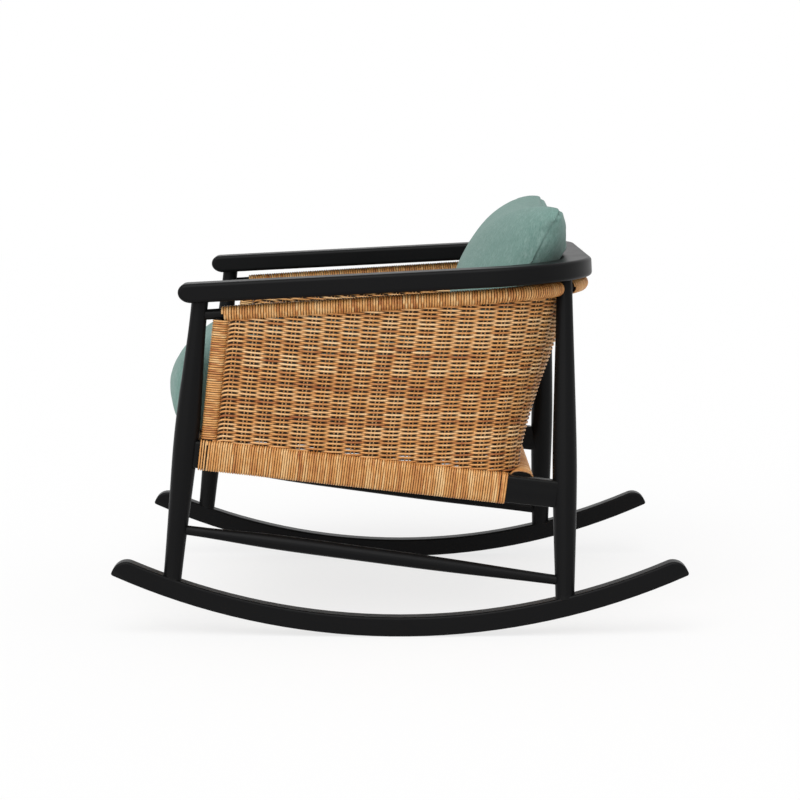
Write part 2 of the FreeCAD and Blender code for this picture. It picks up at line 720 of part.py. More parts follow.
# Seat cushion: a filled box cushion on the webbing, fullest ahead of the back cushion
def soft_ring(front, rear, half_front, half_rear, bows, corners, lift):
    """A level outline with bowed front, rear and rounded corners, in eight edges."""
    r, s = corners
    cut = 1 - math.sqrt(0.5)
    side_front = Vector(half_front, front + r, lift)
    side_rear = Vector(half_rear, rear - s, lift)
    front_end = Vector(half_front - r, front, lift)
    rear_end = Vector(half_rear - s, rear, lift)
    front_turn = Vector(half_front - r * cut, front + r * cut, lift)
    rear_turn = Vector(half_rear - s * cut, rear - s * cut, lift)
    side_bow = Vector((half_front + half_rear) / 2 + bows[1], (side_front.y + side_rear.y) / 2, lift)
    edges = [arc(other(front_end), Vector(0, front - bows[0], lift), front_end)]
    edges.append(arc(front_end, front_turn, side_front))
    edges.append(arc(side_front, side_bow, side_rear))
    edges.append(arc(side_rear, rear_turn, rear_end))
    edges.append(arc(rear_end, Vector(0, rear + bows[2], lift), other(rear_end)))
    edges.append(arc(other(rear_end), other(rear_turn), other(side_rear)))
    edges.append(arc(other(side_rear), other(side_bow), other(side_front)))
    edges.append(arc(other(side_front), other(front_turn), other(front_end)))
    return Part.Wire(edges)


def seat_ring(level):
    height, front_in, side_in, rear_in, corner = level
    share = 1 - front_in / seat_front_fade
    return soft_ring(seat_cushion_front + front_in, seat_cushion_rear - rear_in,
                     seat_half_front - side_in, seat_half_rear - side_in * half_ratio,
                     (seat_front_bow * share, 2.0, seat_rear_bow * share),
                     (corner, corner + seat_rear_corner),
                     bound_height / 2 + soft_gap + height * seat_thickness)


seat_cushion_front = -cushion_overhang
seat_cushion_rear = rear_rail_back - rear_rail_depth - 2 * binding - cushion_rear_gap
widest_leg = max(girth for share, girth in front_girths)
seat_half_front = rocker_x - widest_leg / 2 - cushion_leg_gap
seat_half_rear = side_x(seat_cushion_rear) + shell_side_out - shell_thickness - cushion_shell_gap
half_ratio = seat_half_rear / seat_half_front
seat_blank = in_seat_plane(Part.makeLoft([seat_ring(level) for level in seat_levels], True, False))


def press_block(side, lift):
    """All above (side 1) or below (side -1) the flat that the two cushions press into each other."""
    reach = rocker_length
    block = Part.makeBox(reach, reach * 2, reach, Vector(-reach / 2, -reach, min(side, 0) * reach))
    spot = Vector(0, rear_rail_back - rear_rail_depth - press_ahead, bound_height / 2 + press_height + lift)
    block.Placement = Placement(spot, Rotation(Vector(1, 0, 0), -press_slope))
    return in_seat_plane(block)


seat_cushion = seat_blank.cut(press_block(1, 0))


# Back cushion: a knife-edged pillow that leans on the arm rail and stands on the seat cushion
back_half_width = rail_half_width - rail_width - back_side_gap
back_foot = Vector(0, rail_back_y - rail_width - back_foot_in, seat_front_z + back_foot_rise)


def pillow_ring(depth, side):
    """The outline at a share of the bulge in front of the seam (side 1) or behind it (side -1)."""
    size = math.sqrt(1 - depth ** (1 / pillow_fullness))
    bulge = back_front_bulge if side > 0 else back_rear_bulge
    half_x = back_half_width * size
    half_y = back_length / 2 * size
    centre = back_length / 2 + side * depth * pillow_sag
    corner = half_y * (back_corner + corner_growth * (1 - size))
    ears = -ear_rise * size ** 2
    return soft_ring(centre - half_y, centre + half_y, half_x, half_x,
                     (ears / 3, ears / 2, ears), (corner, corner), side * depth * bulge)


def pillow_half(side):
    return Part.makeLoft([pillow_ring(depth, side) for depth in pillow_depths], True, False)


pillow = pillow_half(1).fuse(pillow_half(-1))
upright = Rotation(Vector(1, 0, 0), 90 - back_lean)
pillow.Placement = Placement(back_foot, upright)

# The pillow is pressed to the arm rail and the seat cushion, so it takes their shape
rail_hole = rail_blank(soft_gap + 1)
rail_hole.translate(Vector(0, 0, -rail_thickness))
below = in_rail_plane(rail_blank(soft_gap + 1)).fuse(in_rail_plane(rail_hole))
back_cushion = pillow.cut(below).cut(press_block(-1, soft_gap))
back_cushion = biggest(back_cushion)

nodes = {
    "rocker_left": rocker_left,
    "rocker_right": mirrored(rocker_left),
    "front_leg_left": front_leg,
    "front_leg_right": mirrored(front_leg),
    "rear_leg_left": rear_leg,
    "rear_leg_right": mirrored(rear_leg),
    "side_stretcher_left": stretcher,
    "side_stretcher_right": mirrored(stretcher),
    "arm_rail": arm_rail,
    "upper_rail_left": upper_side,
    "upper_rail_right": mirrored(upper_side),
    "upper_rail_back": upper_back,
    "upper_wrap_left": upper_wrap_side,
    "upper_wrap_right": mirrored(upper_wrap_side),
    "upper_wrap_back": upper_wrap_back,
    "panel_post_left": post_core,
    "panel_post_right": mirrored(post_core),
    "post_wrap_left": post_wrap,
    "post_wrap_right": mirrored(post_wrap),
    "seat_rail_left": side_rail,
    "seat_rail_right": mirrored(side_rail),
    "seat_rail_front": front_rail,
    "seat_rail_rear": rear_rail,
    "rail_wrap_left": side_wrap,
    "rail_wrap_right": mirrored(side_wrap),
    "rail_wrap_front": front_wrap,
    "rail_wrap_rear": rear_wrap,
    "rail_dowels": Part.makeCompound(left_dowels + [mirrored(d) for d in left_dowels]),
    "cleat_left": side_cleat,
    "cleat_right": mirrored(side_cleat),
    "cleat_front": front_cleat,
    "cleat_rear": rear_cleat,
    "cleat_screws": screws,
    "webbing_across": Part.makeCompound([in_seat_plane(s) for s in cross_webbing_flat]),
    "webbing_along": Part.makeCompound([in_seat_plane(s) for s in long_webbing_flat]),
    "woven_shell": woven_shell,
    "seat_cushion": seat_cushion,
    "back_cushion": back_cushion,
}

os.makedirs("parts", exist_ok=True)
for name, shape in nodes.items():
    shape.exportStep("parts/%s.step" % name)
    print(name, shape.isValid(), len(shape.Solids), round(shape.Volume))
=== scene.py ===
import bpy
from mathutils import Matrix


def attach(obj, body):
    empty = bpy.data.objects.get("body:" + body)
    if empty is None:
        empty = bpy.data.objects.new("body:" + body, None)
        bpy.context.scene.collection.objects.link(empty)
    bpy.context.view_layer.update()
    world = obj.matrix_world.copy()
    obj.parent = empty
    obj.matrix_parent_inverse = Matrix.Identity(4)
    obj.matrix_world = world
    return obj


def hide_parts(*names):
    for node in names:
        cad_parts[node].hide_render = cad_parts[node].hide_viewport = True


bl_info = {
    "name": "Rocking chair dressing",
    "version": (1, 0, 0),
    "blender": (4, 5, 0),
    "location": "3D View > Sidebar > Rocking chair",
    "description": "Binds, weaves, paints and upholsters the packed rocking chair",
    "category": "Object",
}

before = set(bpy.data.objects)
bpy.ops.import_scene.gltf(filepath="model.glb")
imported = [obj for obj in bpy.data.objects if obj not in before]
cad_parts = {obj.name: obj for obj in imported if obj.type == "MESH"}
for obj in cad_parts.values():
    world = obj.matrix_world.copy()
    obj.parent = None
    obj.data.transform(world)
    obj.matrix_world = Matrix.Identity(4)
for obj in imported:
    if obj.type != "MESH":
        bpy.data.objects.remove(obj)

import math
import random
from bisect import bisect_left

import bmesh
import bpy
from bpy.props import FloatProperty, FloatVectorProperty, IntProperty, PointerProperty
from mathutils import Matrix, Vector, noise
from mathutils.bvhtree import BVHTree

# Places of the timber that the bindings and the weave follow, in metres
side_middle = 0.340
seat_front_y = -0.34747
seat_front_z = 0.3013
seat_fall = math.radians(6.75)
seat_toe_in = math.radians(2.17)
rim_half = 0.340
rim_back = 0.3035
rim_corner = 0.1794
rim_height = 0.5448
rim_rise = math.atan(0.064)
rim_radius = 0.0125
rear_leg_turn = math.radians(53.9)
leg_lean = math.radians(6.27)
post_foot = Vector((0.340, -0.311, 0.3013))
rim_start = -0.2874
seam_height = 0.141
seam_width = 0.0035
pillow_foot = Vector((0.0, 0.115, 0.4115))
pillow_lean = math.radians(28)
pillow_ahead = Vector((0.0, -math.cos(pillow_lean), math.sin(pillow_lean)))


def tint(red, green, blue):
    """A colour written in screen values, as the linear values that materials take."""
    shares = [value / 255 for value in (red, green, blue)]
    return tuple(s / 12.92 if s <= 0.04045 else ((s + 0.055) / 1.055) ** 2.4 for s in shares)


def length_setting(name, description, default):
    return FloatProperty(name=name, description=description, default=default, min=0.0,
                         unit="LENGTH", subtype="DISTANCE", precision=4)


def colour_setting(name, description, default):
    return FloatVectorProperty(name=name, description=description, default=default,
                               min=0.0, max=1.0, size=3, subtype="COLOR")


class BindingSettings(bpy.types.PropertyGroup):
    """Sizes and colours of the cane that is wound round the rails and posts"""
    rim_pitch: length_setting("Rim strand", "Width of a strand on the upper rail", 0.0043)
    rail_pitch: length_setting("Rail strand", "Width of a strand on the seat rails", 0.0039)
    post_pitch: length_setting("Post strand", "Width of a strand on the posts", 0.0037)
    thickness: length_setting("Thickness", "How thick the cane is", 0.0029)
    pale: colour_setting("Pale cane", "The straw colour of the palest strands", tint(228, 187, 132))
    warm: colour_setting("Warm cane", "The middle colour of the strands", tint(206, 147, 83))
    dark: colour_setting("Dark cane", "The reddish brown of the darkest strands", tint(156, 88, 40))
    gap: colour_setting("Gap", "Shadow colour between the strands", tint(34, 20, 11))


class WeaveSettings(bpy.types.PropertyGroup):
    """Sizes and colours of the woven shell"""
    row_front: length_setting("Row at the front", "Height of one row beside the posts", 0.00342)
    row_rear: length_setting("Row at the rear", "Height of one row at the back", 0.00321)
    strand_height: length_setting("Strand height", "Height of a woven strand", 0.0038)
    strand_depth: length_setting("Strand depth", "Thickness of a woven strand", 0.0028)
    swing: length_setting("Swing", "How far a strand swings in and out round the stakes", 0.0026)
    pair_spacing: length_setting("Pair spacing", "Distance between pairs of stakes", 0.030)
    stake_gap: length_setting("Stake gap", "Distance between the two stakes of a pair", 0.0059)
    stake: length_setting("Stake", "Diameter of a stake", 0.0024)
    first_pair: length_setting("First pair", "Distance from the post to the first pair of stakes", 0.0146)
    pale: colour_setting("Pale reed", "Colour of the palest reed", tint(240, 198, 145))
    warm: colour_setting("Warm reed", "Middle colour of the reed", tint(216, 154, 88))
    dark: colour_setting("Dark reed", "Colour of the darkest reed", tint(160, 92, 42))
    gap: colour_setting("Gap", "Shadow colour between the strands", tint(30, 17, 9))


class TimberSettings(bpy.types.PropertyGroup):
    """Colours of the paint, the bare wood, the steel and the webbing"""
    paint: colour_setting("Paint", "Black paint on the frame", tint(13, 13, 14))
    # The rubbed paint colour is partly wear and partly a painted highlight on the frame's edges
    worn: colour_setting("Rubbed paint", "The paint where it is thin on the edges", tint(28, 28, 27))
    beech: colour_setting("Beech", "Bare wood of the cleats and dowels", tint(196, 158, 116))
    grain: colour_setting("Grain", "Dark grain lines in the beech", tint(158, 116, 76))
    steel: colour_setting("Steel", "Plated screws", tint(176, 176, 172))
    webbing: colour_setting("Webbing", "Jute webbing under the cushion", tint(150, 128, 98))


class CushionSettings(bpy.types.PropertyGroup):
    """Sizes and colours of the two cushions"""
    cloth: colour_setting("Cloth", "Middle colour of the slubby cloth", tint(116, 146, 138))
    slub: colour_setting("Slub", "Pale threads in the cloth", tint(146, 168, 162))
    shade: colour_setting("Dark thread", "Dark threads in the cloth", tint(98, 128, 121))
    voxel: length_setting("Skin", "Mesh size of the cloth before it is filled", 0.006)
    start_in: length_setting("Start", "How much smaller the cloth starts", 0.007)
    seat_swell: length_setting("Seat swell", "The most that the seat cushion may swell", 0.006)
    back_swell: length_setting("Back swell", "The most that the back cushion may swell", 0.006)
    rear_growth: FloatProperty(name="Rear growth", default=0.57,
                               description="How much fuller the pillow's rear is than its solid")
    steps: IntProperty(name="Steps", description="Frames that the filling takes", default=12, min=1)


class StageSettings(bpy.types.PropertyGroup):
    """Floor, light and camera"""
    distance: length_setting("Distance", "How far the camera stands from the chair's middle", 4.067)
    height: length_setting("Height", "How high the camera stands", 0.8625)
    pitch: FloatProperty(name="Pitch", description="The camera's angle from straight down",
                         default=math.radians(82.725), subtype="ANGLE", unit="ROTATION")
    lens: FloatProperty(name="Lens", description="Focal length in millimetres", default=104.94)
    sky: FloatProperty(name="Sky", description="Strength of the light from all round", default=0.56)
    key: FloatProperty(name="Key lamp", description="Strength of the main lamp", default=1.8)
    fill: FloatProperty(name="Fill lamp", description="Strength of the lamp beside the camera", default=0.75)
    white: FloatProperty(name="White floor", description="How much of the floor's colour is plain white",
                         default=0.75, min=0.0, max=1.0)


class Wire:
    """A node's output, so that shader maths reads as plain sums."""

    def __init__(self, finish, socket):
        self.finish = finish
        self.socket = socket

    def maths(self, operation, first, second):
        return self.finish.add("ShaderNodeMath", {"operation": operation}, {0: first, 1: second})

    def __add__(self, other):
        return self.maths("ADD", self, other)

    __radd__ = __add__

    def __sub__(self, other):
        return self.maths("SUBTRACT", self, other)

    def __rsub__(self, other):
        return self.maths("SUBTRACT", other, self)

    def __mul__(self, other):
        return self.maths("MULTIPLY", self, other)

    __rmul__ = __mul__


class Finish:
    """A material, or the world, in the making."""

    def __init__(self, owner):
        owner.use_nodes = True
        self.owner = owner
        self.tree = owner.node_tree
        self.tree.nodes.clear()

    def add(self, kind, settings=None, sockets=None, output=0):
        """Adds a node with its settings first and then its sockets, and gives one of its outputs."""
        node = self.tree.nodes.new(kind)
        for key, value in (settings or {}).items():
            if key == "stops":
                self.set_stops(node.color_ramp, value)
            else:
                setattr(node, key, value)
        for key, value in (sockets or {}).items():
            if isinstance(value, Wire):
                self.tree.links.new(value.socket, node.inputs[key])
            else:
                node.inputs[key].default_value = value
        return Wire(self, node.outputs[output]) if node.outputs else None

    def set_stops(self, ramp, stops):
        while len(ramp.elements) < len(stops):
            ramp.elements.new(1.0)
        for element, (place, value) in zip(ramp.elements, stops):
            element.position = place
            element.color = (*value, 1.0) if isinstance(value, tuple) else (value, value, value, 1.0)

    def place(self):
        return self.add("ShaderNodeTexCoord", output=3)

    def stretched(self, scale, turn=(0.0, 0.0, 0.0)):
        """The place in the object, drawn out along the axes that have a small scale."""
        return self.add("ShaderNodeMapping", sockets={
            "Vector": self.place(), "Rotation": turn, "Scale": scale})

    def noise(self, scale, detail=2.0, vector=None, roughness=0.5):
        return self.add("ShaderNodeTexNoise", sockets={
            "Vector": vector or self.place(), "Scale": scale, "Detail": detail, "Roughness": roughness})

    def ramp(self, value, *stops):
        return self.add("ShaderNodeValToRGB", {"stops": stops}, {0: value})

    def mix(self, share, first, second):
        """A mix of two colours."""
        first = first if isinstance(first, Wire) else (*first, 1.0)
        second = second if isinstance(second, Wire) else (*second, 1.0)
        return self.add("ShaderNodeMix", {"data_type": "RGBA"},
                        {0: share, 6: first, 7: second}, output=2)

    def bump(self, height, strength, distance):
        return self.add("ShaderNodeBump", sockets={
            "Height": height, "Strength": strength, "Distance": distance})

    def attribute(self, name):
        return self.add("ShaderNodeAttribute", {"attribute_name": name}, output=2)

    def surface(self, **sockets):
        """The principled shader; a socket's name is written with _ for a space."""
        named = {name.replace("_", " "): value for name, value in sockets.items()}
        for name, value in named.items():
            if isinstance(value, tuple) and len(value) == 3:
                named[name] = (*value, 1.0)
        shader = self.add("ShaderNodeBsdfPrincipled", sockets=named)
        self.add("ShaderNodeOutputMaterial", sockets={"Surface": shader})
        return self.owner


def black_paint():
    """Satin black paint, thinner and paler on the convex edges, partly as rubbed paint and partly as a
    painted highlight, with a faint brush texture.
    """
    look = bpy.context.scene.chair_timber
    finish = Finish(bpy.data.materials.new("black_paint"))
    cloudy = finish.noise(9.0, 3.0)
    fine = finish.noise(240.0, 2.0, finish.stretched((1.0, 0.25, 1.0)))
    edge = finish.add("ShaderNodeNewGeometry", output=7)
    # Painted highlight and wear: the paler colour on convex edges is rubbed paint and also stands in for the
    # edges' highlights
    rubbed_and_edge_highlight = finish.ramp(edge, (0.52, 0.0), (0.62, 1.0)) * (cloudy * 0.8)
    colour = finish.mix(rubbed_and_edge_highlight + cloudy * 0.12, tuple(look.paint), tuple(look.worn))
    return finish.surface(Base_Color=colour, Roughness=0.30 + cloudy * 0.16,
                          Specular_IOR_Level=0.08, Normal=finish.bump(fine, 0.06, 0.001))


def bare_beech():
    look = bpy.context.scene.chair_timber
    finish = Finish(bpy.data.materials.new("bare_beech"))
    lines = finish.noise(60.0, 4.0, finish.stretched((1.0, 0.12, 1.0)))
    flecks = finish.noise(700.0, 1.0, finish.stretched((1.0, 0.2, 1.0)))
    colour = finish.mix(finish.ramp(lines, (0.42, 0.0), (0.66, 1.0)), tuple(look.beech), tuple(look.grain))
    return finish.surface(Base_Color=colour, Roughness=0.55 + flecks * 0.2,
                          Normal=finish.bump(flecks, 0.15, 0.001))


def plated_steel():
    look = bpy.context.scene.chair_timber
    finish = Finish(bpy.data.materials.new("plated_steel"))
    dull = finish.noise(300.0, 2.0)
    return finish.surface(Base_Color=tuple(look.steel), Metallic=1.0, Roughness=0.25 + dull * 0.25)


def jute_webbing():
    look = bpy.context.scene.chair_timber
    finish = Finish(bpy.data.materials.new("jute_webbing"))
    waves = []
    for direction in ("X", "Y"):
        waves.append(finish.add("ShaderNodeTexWave", {"bands_direction": direction}, {
            "Vector": finish.place(), "Scale": 110.0, "Distortion": 1.2, "Detail": 2.0}, output=1))
    threads = waves[0] * waves[1]
    dark = tuple(value * 0.55 for value in look.webbing)
    colour = finish.mix(threads, dark, tuple(look.webbing))
    return finish.surface(Base_Color=colour, Roughness=0.85, Normal=finish.bump(threads, 0.5, 0.001))


def cane(name, look, gloss, mottle):
    """Rattan: each strand's own tone, freckled along its length, with painted shade where strands meet."""
    finish = Finish(bpy.data.materials.new(name))
    freckle = finish.noise(150.0, 4.0, roughness=0.65)
    blotch = finish.noise(55.0, 2.0)
    value = finish.attribute("tone") + (freckle - 0.5) * mottle + (blotch - 0.5) * 0.5
    colour = finish.ramp(value, (0.05, tuple(look.dark)), (0.5, tuple(look.warm)), (0.92, tuple(look.pale)))
    # Painted shade: the shade attribute draws the colour towards the gap shadow colour between strands and
    # behind stakes
    colour = finish.mix(finish.attribute("shade"), tuple(look.gap), colour)
    fibre = finish.noise(1500.0, 2.0)
    return finish.surface(Base_Color=colour, Roughness=gloss + freckle * 0.2, Specular_IOR_Level=0.4,
                          Normal=finish.bump(fibre, 0.12, 0.001))


def slub_cloth(name):
    """Plain cloth of uneven threads, with short pale slubs across the bias."""
    look = bpy.context.scene.chair_cushions
    finish = Finish(bpy.data.materials.new(name))
    bias = (math.radians(38), math.radians(31), math.radians(33))
    warp = finish.noise(1.0, 3.0, finish.stretched((1300.0, 220.0, 220.0), bias))
    weft = finish.noise(1.0, 3.0, finish.stretched((220.0, 1300.0, 220.0), bias))
    threads = warp * 0.5 + weft * 0.5
    slubs = finish.noise(1.0, 2.0, finish.stretched((420.0, 75.0, 75.0), bias))
    cross = finish.noise(1.0, 2.0, finish.stretched((75.0, 420.0, 75.0), bias))
    pale = finish.ramp(slubs, (0.5, 0.0), (0.74, 1.0)) * 0.35
    pale = pale + finish.ramp(cross, (0.52, 0.0), (0.76, 1.0)) * 0.3
    worn = finish.noise(7.0, 3.0)
    base = finish.mix(finish.ramp(threads, (0.38, 0.0), (0.6, 1.0)), tuple(look.shade), tuple(look.cloth))
    colour = finish.mix(pale, base, tuple(look.slub))
    colour = finish.mix((worn - 0.5) * 0.25 + 0.06, colour, tuple(look.shade))
    height = threads + slubs * 0.5
    return finish.surface(Base_Color=colour, Roughness=0.86, Specular_IOR_Level=0.2, Sheen_Weight=0.12,
                          Sheen_Roughness=0.5, Normal=finish.bump(height, 0.5, 0.0016))


class Heap:
    """Points, faces and tones gathered for one piece."""

    def __init__(self):
        self.points = []
        self.faces = []
        self.tones = []
        self.shades = []

    def tube(self, rings, tones, shades, closed=False):
        """Joins rings of points into a tube, with an end on each side unless it closes on itself.

        A ring has one tone, and a painted shade for each point: 1 in the open, 0 deep between strands."""
        first = len(self.points)
        count = len(rings[0])
        for ring, tone, shade in zip(rings, tones, shades):
            self.points.extend(ring)
            self.tones.extend([tone] * count)
            self.shades.extend(shade)
        last = len(rings) - 1
        for i in range(last + closed):
            here = first + i * count
            there = first + (i + 1) % len(rings) * count
            for j in range(count):
                k = (j + 1) % count
                self.faces.append((here + j, here + k, there + k, there + j))
        if not closed:
            self.faces.append(tuple(reversed(range(first, first + count))))
            self.faces.append(tuple(range(first + last * count, first + (last + 1) * count)))

    def piece(self, name, material):
        mesh = bpy.data.meshes.new(name)
        mesh.from_pydata(self.points, [], self.faces)
        for name_of, values in (("tone", self.tones), ("shade", self.shades)):
            mesh.attributes.new(name_of, "FLOAT", "POINT").data.foreach_set("value", values)
        skin = bmesh.new()
        skin.from_mesh(mesh)
        bmesh.ops.recalc_face_normals(skin, faces=skin.faces)
        skin.to_mesh(mesh)
        skin.free()
        mesh.shade_smooth()
        mesh.materials.append(material)
        piece = bpy.data.objects.new(name, mesh)
        bpy.context.scene.collection.objects.link(piece)
        return piece


def settle(piece, body, slot, *nodes):
    """Gives a piece its body, and hides the nodes that it stands for."""
    if nodes:
        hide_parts(*nodes)
    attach(piece, body)
    return piece


def flipped(place):
    """The same member on the other side of the chair."""
    def other_side(distance):
        centre, side, up, ahead = place(distance)
        return tuple(Vector((-v.x, v.y, v.z)) for v in (centre, side, up, ahead))
    return other_side


# Members that are bound: each place gives the centre, the outward and upward directions and the way ahead
def on_bow(distance, half, back, corner, front):
    """A point and heading on a bent rail, from its left front end round to the right."""
    straight = back - corner - front
    turn = corner * math.pi / 2
    whole = straight + turn + half - corner
    if distance > whole:
        x, y, to_x, to_y = on_bow(2 * whole - distance, half, back, corner, front)
        return -x, y, to_x, -to_y
    if distance <= straight:
        return half, front + distance, 0.0, 1.0
    if distance >= straight + turn:
        return half - corner - (distance - straight - turn), back, -1.0, 0.0
    angle = (distance - straight) / corner
    centre_x = half - corner
    centre_y = back - corner
    return (centre_x + corner * math.cos(angle), centre_y + corner * math.sin(angle),
            -math.sin(angle), math.cos(angle))


def on_rim(distance):
    x, y, to_x, to_y = on_bow(distance, rim_half, rim_back, rim_corner, rim_start)
    tilt = Matrix.Rotation(rim_rise, 3, "X")
    centre = tilt @ Vector((x, y, 0.0)) + Vector((0.0, 0.0, rim_height))
    ahead = tilt @ Vector((to_x, to_y, 0.0))
    up = tilt @ Vector((0.0, 0.0, 1.0))
    return centre, ahead.cross(up), up, ahead


leg_room = 0.0145
rim_straight = rim_back - rim_corner - rim_start
rim_to_leg = rim_straight + rim_corner * rear_leg_turn
rim_whole = 2 * (rim_straight + rim_corner * math.pi / 2 + rim_half - rim_corner)


seat_tilt = Matrix.Rotation(-seat_fall, 3, "X")
seat_up = seat_tilt @ Vector((0.0, 0.0, 1.0))


def on_seat(x, y, z):
    """A place in the sloping plane of the seat frame."""
    return seat_tilt @ Vector((x, y, z)) + Vector((0.0, seat_front_y, seat_front_z))


def on_side_rail(distance):
    ahead = seat_tilt @ Vector((-math.sin(seat_toe_in), math.cos(seat_toe_in), 0.0))
    x = side_middle - distance * math.sin(seat_toe_in)
    return on_seat(x, distance * math.cos(seat_toe_in), 0.0), ahead.cross(seat_up), seat_up, ahead


def on_cross_rail(depth, lift):
    """A seat rail from right to left, at a depth behind the front legs' axis."""
    def place(distance):
        ahead = Vector((1.0, 0.0, 0.0))
        return on_seat(distance, depth, lift), ahead.cross(seat_up), seat_up, ahead
    return place


def on_post(distance):
    ahead = Vector((0.0, math.sin(leg_lean), math.cos(leg_lean)))
    side = Vector((1.0, 0.0, 0.0))
    return post_foot + ahead * distance, side, ahead.cross(side), ahead


def round_section(radius, count):
    """A round section as (side, up, outward side, outward up)."""
    angles = [2 * math.pi * i / count for i in range(count)]
    return [(radius * math.cos(a), radius * math.sin(a), math.cos(a), math.sin(a)) for a in angles]


def square_section(width, height, rounding, swell=0.0006):
    """A rounded oblong section whose flats are very slightly full."""
    section = []
    for corner, (to_side, to_up) in enumerate(((1, 1), (-1, 1), (-1, -1), (1, -1))):
        centre_side = to_side * (width / 2 - rounding)
        centre_up = to_up * (height / 2 - rounding)
        for step in range(4):
            angle = math.pi / 2 * (corner + step / 3)
            section.append((centre_side + rounding * math.cos(angle), centre_up + rounding * math.sin(angle),
                            math.cos(angle), math.sin(angle)))
        angle = math.pi / 2 * (corner + 1)
        flat_side = round(math.cos(angle))
        flat_up = round(math.sin(angle))
        section.append((flat_side * (width / 2 + swell), flat_up * (height / 2 + swell), flat_side, flat_up))
    return section


strand_shape = ((-0.49, -0.46), (-0.36, -0.13), (-0.13, 0.0), (0.13, 0.0), (0.36, -0.13), (0.49, -0.46),
                (0.34, -0.75), (-0.34, -0.75))
# Painted shade across a binding strand: dark on the edges where turns touch and underneath, open on top
strand_painted_shade = (0.05, 0.72, 1.0, 1.0, 0.72, 0.05, 0.0, 0.0)


def strand_tones(count, seed):
    """A tone for each turn of a strand, in uneven groups, as lengths of cane differ."""
    chance = random.Random(seed)
    level = 0.5
    tones = []
    for _ in range(count):
        if chance.random() < 0.45:
            level = chance.uniform(0.36, 0.66)
        tones.append(level + chance.uniform(-0.24, 0.24))
    return tones


def wind(heap, place, section, start, stop, pitch, seed, waver=0.0, taper=0.0):
    """Winds one strand round a member from start to stop."""
    turns = max(1, round((stop - start) / pitch))
    pitch = (stop - start) / turns
    count = len(section)
    tones = strand_tones(turns + 1, seed)
    depth = bpy.context.scene.chair_binding.thickness / 0.75
    chance = random.Random(seed + 1)
    lean = [chance.uniform(-1.0, 1.0) for _ in range(turns + 2)]
    rings = []
    ring_tones = []
    for step in range((turns - 1) * count + count // 2 + 1):
        turn, corner = divmod(step, count)
        share = corner / count
        to_side, to_up, out_side, out_up = section[corner]
        middle = start + pitch * (turn + share + 0.5)
        wave = lean[turn] * (1 - share) + lean[turn + 1] * share
        near_end = max(0.0, 1 - (stop - middle) / 0.035)
        middle += wave * pitch * (0.05 + waver * near_end)
        centre, side, up, ahead = place(middle)
        inset = taper * max(0.0, 1 - min(stop - middle, middle - start) / (1.6 * pitch)) ** 2
        out = side * out_side + up * out_up
        face = centre + side * to_side + up * to_up - out * (inset + 0.00012 * (1 + wave))
        rings.append([face + ahead * (along * pitch) + out * (rise * depth) for along, rise in strand_shape])
        ring_tones.append(tones[turn])
    heap.tube(rings, ring_tones, [strand_painted_shade] * len(rings))


loose_turns = (0.0248, 0.0286, 0.0328)


def loose_ring(heap, place, section, middle, width, tone, proud):
    """One separate turn of cane, closed on itself."""
    centre, side, up, ahead = place(middle)
    depth = bpy.context.scene.chair_binding.thickness / 0.75
    rings = []
    for to_side, to_up, out_side, out_up in section:
        out = side * out_side + up * out_up
        face = centre + side * to_side + up * to_up + out * proud
        rings.append([face + ahead * (along * width) + out * (rise * depth) for along, rise in strand_shape])
    heap.tube(rings, [tone] * len(rings), [strand_painted_shade] * len(rings), closed=True)


# The woven shell's middle surface
shell_thickness = 0.007
shell_side_out = 0.0045
shell_back_in = 0.012
shell_low_back = 0.205
shell_low_corner = 0.070
shell_low_bow = 0.008
shell_high_bow = 0.001
post_half = 0.0125
shell_front = post_foot.y + post_half + 0.0004
rows_below = 1.2
shell_hollows = ((0.0, 0.0), (0.3, -0.0105), (0.65, -0.005), (1.0, 0.0))


def rim_axis(y):
    return rim_height + y * math.tan(rim_rise)


def seat_top(y):
    return seat_front_z + 0.025 / math.cos(seat_fall) - (y - seat_front_y) * math.tan(seat_fall)


def hollow_at(level):
    """How far the shell's back curves in at a level, smoothly through the four known places."""
    total = 0.0
    for i, (place, value) in enumerate(shell_hollows):
        share = value
        for j, (other, _) in enumerate(shell_hollows):
            if i != j:
                share *= (level - other) / (place - other)
        total += share
    return total


def through(first, middle, last, count):
    """Points on the arc through three points in plan."""
    ax, ay = first
    bx, by = middle
    cx, cy = last
    d = 2 * (ax * (by - cy) + bx * (cy - ay) + cx * (ay - by))
    a2, b2, c2 = ax * ax + ay * ay, bx * bx + by * by, cx * cx + cy * cy
    ux = (a2 * (by - cy) + b2 * (cy - ay) + c2 * (ay - by)) / d
    uy = (a2 * (cx - bx) + b2 * (ax - cx) + c2 * (bx - ax)) / d
    radius = math.hypot(ax - ux, ay - uy)
    start = math.atan2(ay - uy, ax - ux)
    end = math.atan2(cy - uy, cx - ux)
    if end < start - math.pi:
        end += 2 * math.pi
    if end > start + math.pi:
        end -= 2 * math.pi
    angles = [start + (end - start) * i / count for i in range(1, count + 1)]
    return [(ux + radius * math.cos(t), uy + radius * math.sin(t)) for t in angles]


